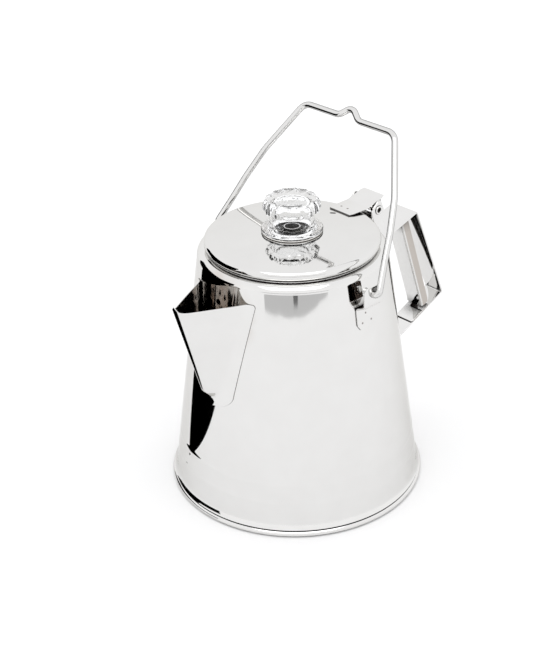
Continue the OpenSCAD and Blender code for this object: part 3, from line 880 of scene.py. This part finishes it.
def handle_strap():
    """The outer strap: a foot, the upper arm, the tapering outer leg, the lower arm and its foot."""
    def foot(z):
        return (cone_r(z) + FIT + STRAP_T / 2, z)

    upper_end, upper_turn = foot(UPPER_FOOT[0]), foot(UPPER_FOOT[1])
    lower_end, lower_turn = foot(LOWER_FOOT[0]), foot(LOWER_FOOT[1])
    path = rounded([
        (*upper_end, 0), (*upper_turn, FOOT_BEND), (*UPPER_BEND, CORNER_BEND),
        (*LOWER_BEND, CORNER_BEND), (*lower_turn, FOOT_BEND), (*lower_end, 0),
    ])

    def width(s, total):
        # the leg starts 14 mm of foot and one arm along the strap
        arm = 14 + math.dist(upper_turn, UPPER_BEND)
        leg = math.dist(UPPER_BEND, LOWER_BEND)
        share = min(max((s - arm) / leg, 0), 1)
        whole = STRAP_W + (STRAP_LOW_W - STRAP_W) * share
        return round_ended(whole, 2)(s, total)

    piece = bent_strip("handle_strap", path, width, STRAP_T, in_xz, onto_cone)
    marks = [(85, -4, 55), (85, 4, 55), (71, -6, 154), (71, 6, 154)]
    mat = steel("strap_steel", grain=(1, 8, 1), welds=marks)
    place_piece(piece, mat, "pot", "polished_steel", "handle_band")


def handle_grip():
    """A channel, round towards the pot, with a foot on each arm of the strap."""
    low, high = Vector((131.4, 0, 88)), Vector((103.4, 0, 172))
    along = (high - low).normalized()
    outward = Vector((along.z, 0, -along.x))
    half, depth, thick, bend = 8.55, 7.0, 1.0, 2.2

    def channel():
        outer = [(depth, -half)] + arc(bend, -half + bend, bend, 270, 180, 8)
        outer += arc(bend, half - bend, bend, 180, 90, 8) + [(depth, half)]
        inner = [(depth, half - thick)] + arc(bend, half - bend, bend - thick, 90, 180, 8)
        inner += arc(bend, bend - half, bend - thick, 180, 270, 8) + [(depth, thick - half)]
        return outer + inner

    steps = 24
    clear = (0.9, 1.3)           # how far the bar stops short of each end, inside its foot
    total = (high - low).length
    rings = []
    for i in range(steps + 1):
        s = clear[0] + (total - sum(clear)) * i / steps
        # the bar spreads a little over its lowest 6 mm
        flare = 0.8 * max(0, 1 - s / 6) ** 2
        rings.append([
            low + along * s + outward * (u - flare) + Vector((0, 1, 0)) * v * (1 - 0.02 * flare)
            for u, v in channel()
        ])
    bar = loft("bar", rings, 40)
    feet = []
    lift = STRAP_T / 2 + FIT + thick / 2
    # each foot lies along an arm: the arm's bend, its slope, where the foot starts and ends, its side
    lower = (LOWER_BEND, 0.435, (119.5, 139), 1)
    upper = (UPPER_BEND, 0.295, (99, 114), -1)
    for (bend_x, bend_z), slope, reach, side in (lower, upper):
        tilt = math.atan(slope)
        ends = []
        for x in reach:
            on_arm = bend_z - slope * (bend_x - x)
            ends.append((x - side * lift * math.sin(tilt), on_arm + side * lift * math.cos(tilt)))
        feet.append(bent_strip("foot", spread(*ends, 12), round_ended(2 * half, 1.2), thick, in_xz))
    piece = join("handle_grip", [bar] + feet)
    # painted reflection: the grip's faces towards -Y are coloured brown-grey; painted shade inside the
    # channel
    reflected_side = ((0, -1, 0), 0.85, GRIP_REFLECTION)
    mat = steel("grip_steel", grain=(1, 8, 1), reach=13, shade_span=(0.72, 0.97), painted_side=reflected_side)
    place_piece(piece, mat, "pot", "polished_steel", "grip_band")


# ---------------------------------------------------------------- bail

BAIL_R = 2.25                # the wire's radius
BAIL_LEAN = math.radians(32.1)


def bail_ear(name, side, node):
    """A strip that stands off the pot and carries one end of the bail. side is -1 on the left."""
    thick = 1.2
    face = EAR_Y - thick / 2

    def place(u, across, z):
        return (across, side * u, z)

    def foot(z):
        return (cone_r(z) + FIT + thick / 2, z)

    path = rounded([(*foot(147), 0), (*foot(162.6), 2), (face, 166.2, 2), (face, EAR_TOP, 0)], 5)
    piece = bent_strip(name, path, round_ended(16, 2.6), thick, place, onto_cone)
    ring = arc(0, BAIL_Z, BAIL_R + 0.1, 0, 352.5, 47)
    cut(piece, loft("drill", [[(u, side * y, v) for u, v in ring] for y in (72, 84)]))
    marks = [(x, side * (cone_r(z) + FIT + thick), z) for x, z in ((-3.5, 151.6), (4.9, 151.8), (0.2, 158))]
    # painted shade: the ear's face towards the pot is painted dark brown, with dark corners
    mat = steel(name + "_steel", welds=marks, reach=7, painted_side=((0, -side, 0), 0.6, EAR_INNER_SHADE))
    place_piece(piece, mat, "pot", "polished_steel", node)


def bail():
    """The bail's wire, bent flat from (across, height, bend radius) points and then leaned."""
    half = [
        (71.2, 0, 0), (83.7, 0, 3.2), (77.7, 21, 40), (72.6, 41, 60), (64.6, 65, 60),
        (44, 105.3, 10), (9.5, 105.3, 8), (0, 113.2, 6),
    ]
    whole = [(-y, h, r) for y, h, r in half] + half[-2::-1]
    path = dense(rounded(whole, 8), 3)

    def place(u, across, h):
        # the flat shape leans towards the handle about the ears
        x = across * math.cos(BAIL_LEAN) + h * math.sin(BAIL_LEAN)
        z = BAIL_Z + h * math.cos(BAIL_LEAN) - across * math.sin(BAIL_LEAN)
        return (x, u, z)

    def grow(s, total):
        # each end is headed over inside its ear
        near = min(s, total - s)
        head_half, head_grow = 0.8, 0.35
        return 1 + head_grow * math.sqrt(max(0, 1 - (near / head_half - 1) ** 2))

    piece = tube("bail", path, BAIL_R, place, 40, grow)
    mat = steel("bail_steel", tone=0.72, rough=(0.07, 0.13), grain=(6, 1, 1), edge=0)
    place_piece(piece, mat, "bail", "polished_steel", "bail_wire")


# ---------------------------------------------------------------- lid

def lid():
    """The domed lid with its rounded edge and skirt."""
    flat_r = LID_FLAT_R
    edge_z = LID_TOP - LID_EDGE
    top = [(r, lid_z(r)) for r, _ in spread((LID_HOLE, 0), (flat_r, 0), 14)]
    outline = top + arc(flat_r, edge_z, LID_EDGE, 84, 0, 12)
    outline += arc(flat_r, SKIRT_Z + LID_EDGE, LID_EDGE, 0, -88, 10)
    outline += arc(flat_r, SKIRT_Z + LID_EDGE, LID_EDGE - WALL, -88, 0, 8)
    outline += arc(flat_r, edge_z, LID_EDGE - WALL, 0, 90, 8)
    outline += [(r, z - WALL) for r, z in top[::-1]]
    piece = lathe("lid_dome", outline, sharp=50)
    # the dash is the lid's dark weld mark; the lid's gaps and edge get painted shade
    dash = [(41.1, 2.4, lid_z(41)), (41.8, 1.7, lid_z(42)), (42.5, 1.0, lid_z(42.5))]
    mat = steel("lid_steel", tone=0.74, grain=(14, 1, 1), reach=1.3, shade_span=(0.42, 0.78), shade_and_mark_spots=(dash, 1.6))
    place_piece(piece, mat, "lid", "polished_steel", "lid_shell")


def lid_inner_ring():
    """The ring welded under the lid that enters the mouth, with a bead that rests on the collar."""
    r = 58
    flange = 7
    bead_r = 0.65
    high, low = ring_high[2], ring_low[2] + WALL / 2
    outline = [(r, high), (r - flange, high), (r - flange, high - WALL), (r - WALL - 1, high - WALL)]
    outline += [(r - WALL, high - WALL - 1), (r - WALL, low)]
    outline += arc(r - WALL / 2, low, WALL / 2, 180, 360, 6)
    outline += [(r, COLLAR_TOP + 0.1)]
    outline += arc(r + 2 * bead_r, COLLAR_TOP + 0.1 + bead_r, bead_r, -90, 90, 6)
    outline += [(r, COLLAR_TOP + 0.1 + 2 * bead_r)]
    place_piece(lathe("lid_inner_ring", outline), satin("ring_steel"), "lid", "plain_steel", "lid_ring")


# ---------------------------------------------------------------- knob

KNOB_LOBES = 14
LOBE_DEPTH = 1.3
LOBES_FROM_R = 15.5          # the scallops start here on the top face
LOBES_LOW = 9.9              # and end this far below the top
CROWN_R = 20.45
NECK_R = 16
KNOB_TOP = knob_high[2]
FLANGE_Z = washer_high[2] + FIT
THREAD_PITCH = 1.8


def knob_wave(a, r, z):
    """Scallops the crown's outside: shallow hollows that meet in soft ridges."""
    if r < LOBES_FROM_R or z < KNOB_TOP - LOBES_LOW:
        return r
    depth = LOBE_DEPTH * min(1, (r - LOBES_FROM_R) / 2.5)
    return r - depth * abs(math.cos(KNOB_LOBES * a / 2)) ** 0.9


def knob():
    """The clear knob: a fluted crown, a neck and a flange, hollow inside, with a threaded mouth."""
    spigot = 13.2
    flange = knob_high[0]
    outline = [(0, KNOB_TOP - 1.2), (6, KNOB_TOP - 1.15), (12.2, KNOB_TOP - 0.9), (12.9, KNOB_TOP - 0.7)]
    outline += [(17.4, KNOB_TOP), (18.2, KNOB_TOP - 0.3), (19.7, KNOB_TOP - 2.6), (20.2, KNOB_TOP - 4)]
    outline += [(CROWN_R, KNOB_TOP - 7.4), (CROWN_R - 0.15, KNOB_TOP - 8.2), (CROWN_R - 1, KNOB_TOP - 8.9)]
    outline += [(NECK_R + 0.8, KNOB_TOP - 9.6), (NECK_R + 0.1, KNOB_TOP - 10.2), (NECK_R, KNOB_TOP - 11)]
    outline += [(NECK_R, FLANGE_Z + 5.2)]
    outline += arc(NECK_R + 3.2, FLANGE_Z + 4.9, 3.2, 180, 262, 8)
    outline += arc(flange - 0.85, FLANGE_Z + 0.85, 0.85, 80, -90, 8)
    outline += [(spigot, FLANGE_Z), (spigot, knob_low[2] + 0.4), (spigot - 0.4, knob_low[2])]
    # the threaded mouth, then the wide hollow in the neck and crown
    mouth, thread, hollow = 9.6, 0.45, NECK_R - 2.4
    for i in range(25):
        up = i * THREAD_PITCH / 6
        outline.append((mouth + thread * math.cos(2 * math.pi * up / THREAD_PITCH), knob_low[2] + up))
    outline += arc(hollow - 2.2, FLANGE_Z + 4.6, 2.2, -60, 0, 5)
    outline += arc(hollow - 4, KNOB_TOP - 8.6, 4, 0, 84, 9)
    outline += [(5, KNOB_TOP - 4.4), (0, KNOB_TOP - 4.4)]
    piece = lathe("knob_clear", outline[::-1], KNOB_LOBES * 18, sharp=28, wave=knob_wave)
    place_piece(piece, clear_plastic("clear_knob_plastic"), "knob", "clear_knob", "knob")


def knob_gasket():
    """The pale washer under the knob's flange, rounded outside."""
    low, high = washer_low[2], washer_high[2]
    outer, inner = washer_high[0], 13.7
    rounding = arc(outer - 0.35, (low + high) / 2, (high - low) / 2, -90, 90, 6)
    outline = [(inner, low)] + rounding + [(inner, high)]
    place_piece(lathe("knob_gasket", outline), rubber("gasket_rubber"), "lid", "gasket", "knob_washer")


def inner_pieces():
    """The pieces inside the pot keep their CAD shapes."""
    drawn = satin("inner_steel")
    bright = satin("stem_steel", 0.7)
    for node in ("basket", "basket_lid", "pump_foot", "knob_retainer"):
        give(frame["nodes"][node], drawn)
    for node in ("pump_tube", "basket_sleeve", "basket_stop", "valve_disc"):
        give(frame["nodes"][node], bright)


# ---------------------------------------------------------------- stage, light and camera

CAMERA_AZ = math.radians(-42.0)
CAMERA_EL = math.radians(29.6)
CAMERA_ROLL = math.radians(-1.53)
CAMERA_AWAY = 967
CAMERA_LENS = 70.8
SENSOR_WIDTH = 36
TARGET_RIGHT = -10.47        # how far the view's middle lies along the camera's right
TARGET_Z = 111.3


def add_camera():
    """A camera that looks down at the pot's middle from the spout's side."""
    data = bpy.data.cameras.new("camera")
    data.lens = CAMERA_LENS
    data.sensor_width = SENSOR_WIDTH
    data.clip_start = 0.01
    data.clip_end = 30
    camera = bpy.data.objects.new("camera", data)
    bpy.context.scene.collection.objects.link(camera)
    sin_a, cos_a = math.sin(CAMERA_AZ), math.cos(CAMERA_AZ)
    back = Vector((sin_a * math.cos(CAMERA_EL), -cos_a * math.cos(CAMERA_EL), math.sin(CAMERA_EL)))
    right = Vector((cos_a, sin_a, 0))
    up = back.cross(right)
    turned_right = right * math.cos(CAMERA_ROLL) + up * math.sin(CAMERA_ROLL)
    turned_up = up * math.cos(CAMERA_ROLL) - right * math.sin(CAMERA_ROLL)
    target = Vector((TARGET_RIGHT * cos_a, TARGET_RIGHT * sin_a, TARGET_Z))
    turn = Matrix((turned_right, turned_up, back)).transposed().to_4x4()
    camera.matrix_world = Matrix.Translation((target + back * CAMERA_AWAY) * MM) @ turn
    bpy.context.scene.camera = camera


def flat_card(name, corners, mat, seen=False):
    """A flat stage card through corners in millimetres. Unseen cards only show in reflections."""
    mesh = bpy.data.meshes.new(name)
    mesh.from_pydata([Vector(c) * MM for c in corners], [], [list(range(len(corners)))])
    card = bpy.data.objects.new(name, mesh)
    bpy.context.scene.collection.objects.link(card)
    card.data.materials.append(mat)
    card.visible_camera = seen
    if not seen:
        card.visible_shadow = False
        card.visible_diffuse = False
    return card


def plain(name, tone, rough=1.0, glow=0):
    """A matt grey for the stage, which may glow."""
    mat, _, shader = node_tree(name)
    shader.inputs["Emission Color"].default_value = (1, 1, 1, 1)
    shader.inputs["Emission Strength"].default_value = glow
    shader.inputs["Roughness"].default_value = rough
    shader.inputs["Specular IOR Level"].default_value = 0
    shader.inputs["Base Color"].default_value = (tone, tone, tone, 1)
    return mat


FLOOR_REACH = 6000
FLOOR_DROP = -0.2            # the floor lies just under the pot, so the two never share a face
BOARD_TOP = 520


def board(name, start, end, mat):
    """An upright stage board between two (x, y) places."""
    flat_card(name, [(*start, 0), (*end, 0), (*end, BOARD_TOP), (*start, BOARD_TOP)], mat)


def add_stage():
    """A white floor, and unseen black and grey cards that show in the steel."""
    reach = FLOOR_REACH
    corners = [(-reach, -reach, 0), (reach, -reach, 0), (reach, reach, 0), (-reach, reach, 0)]
    floor = flat_card("floor", corners, plain("floor_white", 0.96, rough=0.8, glow=0.05), seen=True)
    floor.location.z = FLOOR_DROP * MM
    # a black flag on the floor behind the pot, with boards on its far edges, and one to the right
    black = plain("flag_black", 0.0)
    flat_card("flag_left", [(-98, 86, 1), (-96, 900, 1), (-1500, 1400, 1), (-1500, 590, 1)], black)
    board("board_back", (-96, 900), (-1500, 1400), black)
    board("board_left", (-1500, 1400), (-1500, 590), black)
    flat_card("flag_limb", [(252, 66, 1), (330, 56, 1), (460, 84, 1), (460, 128, 1), (330, 118, 1)], black)
    # the front of the studio: where the white floor ends, and a stand
    front = [(-742, -225, 1), (-656, -424, 1), (-517, -582, 1), (-344, -711, 1), (-207, -793, 1)]
    front += [(-75, -829, 1), (-60, -1700, 1), (-1700, -1700, 1), (-1700, -260, 1)]
    flat_card("front", front, plain("front_grey", 0.6))
    stand = [(-520, -654, 2), (-566, -615, 2), (-692, -724, 2), (-608, -796, 2)]
    flat_card("stand", stand, plain("stand_grey", 0.16))


def add_light():
    """A nearly white sky all round, and one softbox."""
    world = bpy.data.worlds.new("studio")
    bpy.context.scene.world = world
    world.use_nodes = True
    tree = world.node_tree
    sky = tree.nodes["Background"]
    where = add(tree, "ShaderNodeTexCoord")
    apart = add(tree, "ShaderNodeSeparateXYZ")
    tree.links.new(where.outputs["Generated"], apart.inputs["Vector"])
    ramp = add(tree, "ShaderNodeValToRGB")
    stops = ramp.color_ramp.elements
    stops[0].position = 0.0
    stops[0].color = (1.0, 1.0, 1.0, 1)
    stops[1].position = 1.0
    stops[1].color = (0.96, 0.96, 0.97, 1)
    tree.links.new(apart.outputs["Z"], ramp.inputs["Fac"])
    tree.links.new(ramp.outputs["Color"], sky.inputs["Color"])
    sky.inputs["Strength"].default_value = 1.13
    # the softbox hangs over the front and only shows as highlights; its sizes are in metres
    lamp = bpy.data.lights.new("softbox", "AREA")
    lamp.shape = "RECTANGLE"
    lamp.size = 1.5
    lamp.size_y = 1.0
    lamp.energy = 8
    box = bpy.data.objects.new("softbox", lamp)
    box.location = (-0.5, -0.56, 1.45)
    box.rotation_euler = Vector(box.location).to_track_quat("Z", "Y").to_euler()
    box.visible_diffuse = False
    bpy.context.scene.collection.objects.link(box)
    bpy.context.scene.view_settings.view_transform = "Standard"


pot_body()
pot_base()
pot_spout()
hinge_bracket()
hinge_rivet()
hinge_leaf()
handle_strap()
handle_grip()
bail_ear("ear_left", -1, "bail_ear_left")
bail_ear("ear_right", 1, "bail_ear_right")
bail()
lid()
lid_inner_ring()
knob()
knob_gasket()
inner_pieces()
add_camera()
add_stage()
add_light()
